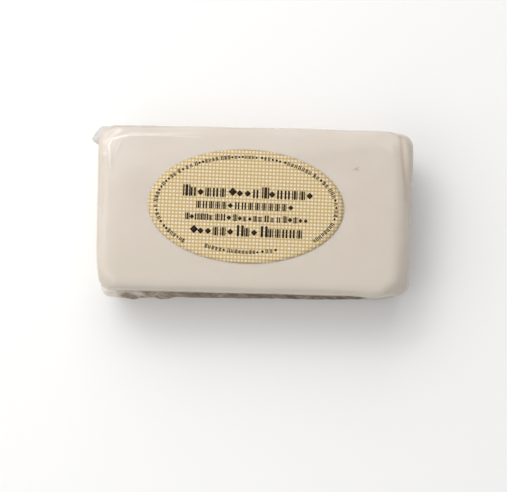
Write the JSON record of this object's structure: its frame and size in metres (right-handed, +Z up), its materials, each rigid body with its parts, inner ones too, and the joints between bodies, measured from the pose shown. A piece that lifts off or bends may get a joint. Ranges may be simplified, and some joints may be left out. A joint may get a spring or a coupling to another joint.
{
  "type": "wrapped goat tomme",
  "caption": "Small rectangular block of ivory goat's cheese, shrunk in clear film with a seam round its walls and an oval paper label on its face.",
  "frame": {"origin": "middle of the flat underside that the block rests on, below the middle of the cheese", "axes": "+X along the block towards the label's right, +Y towards the label's top, +Z up through the labelled face"},
  "size_m": [0.1245, 0.068, 0.0346],
  "materials": {
    "wrapped_cheese": "ivory pressed goat's cheese under tight clear film, satin gloss",
    "clear_film": "clear shrink film, glossy, hazy where it is sealed and crumpled",
    "label_paper": "uncoated paper printed with a golden woven-cloth ground",
    "label_ink": "brown-black printing ink"
  },
  "bodies": {
    "root": {"tomme_pack": "wrapped_cheese", "label": "label_paper"}
  },
  "joints": []
}
